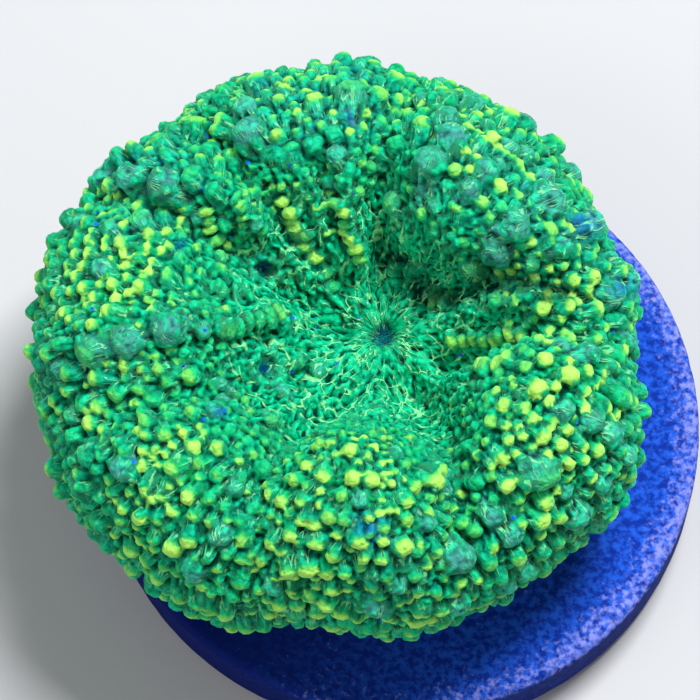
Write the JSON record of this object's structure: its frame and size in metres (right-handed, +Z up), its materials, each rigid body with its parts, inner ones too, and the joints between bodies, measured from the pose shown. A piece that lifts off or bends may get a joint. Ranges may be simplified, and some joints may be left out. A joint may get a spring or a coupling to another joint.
{
  "type": "brain coral",
  "caption": "Round fleshy brain coral, hollowed to a mouth, lobed by grooves and covered with knobs and blisters, grown on a flat ceramic disc that it rests on.",
  "frame": {"origin": "centre of the disc's underside, on the surface that it rests on", "axes": "+Z up, square to the disc; -Y towards the picture's lower edge; +X to its right"},
  "size_m": [0.0417, 0.0397, 0.0243],
  "materials": {
    "coral_flesh": "wet fluorescent green flesh over a stony skeleton, deep green in the creases, yellow-green on the knobs' tips and blue-green in the mouths",
    "raw_ceramic": null
  },
  "bodies": {
    "root": {"coral": "coral_flesh", "ceramic_disc": "raw_ceramic"}
  },
  "joints": []
}
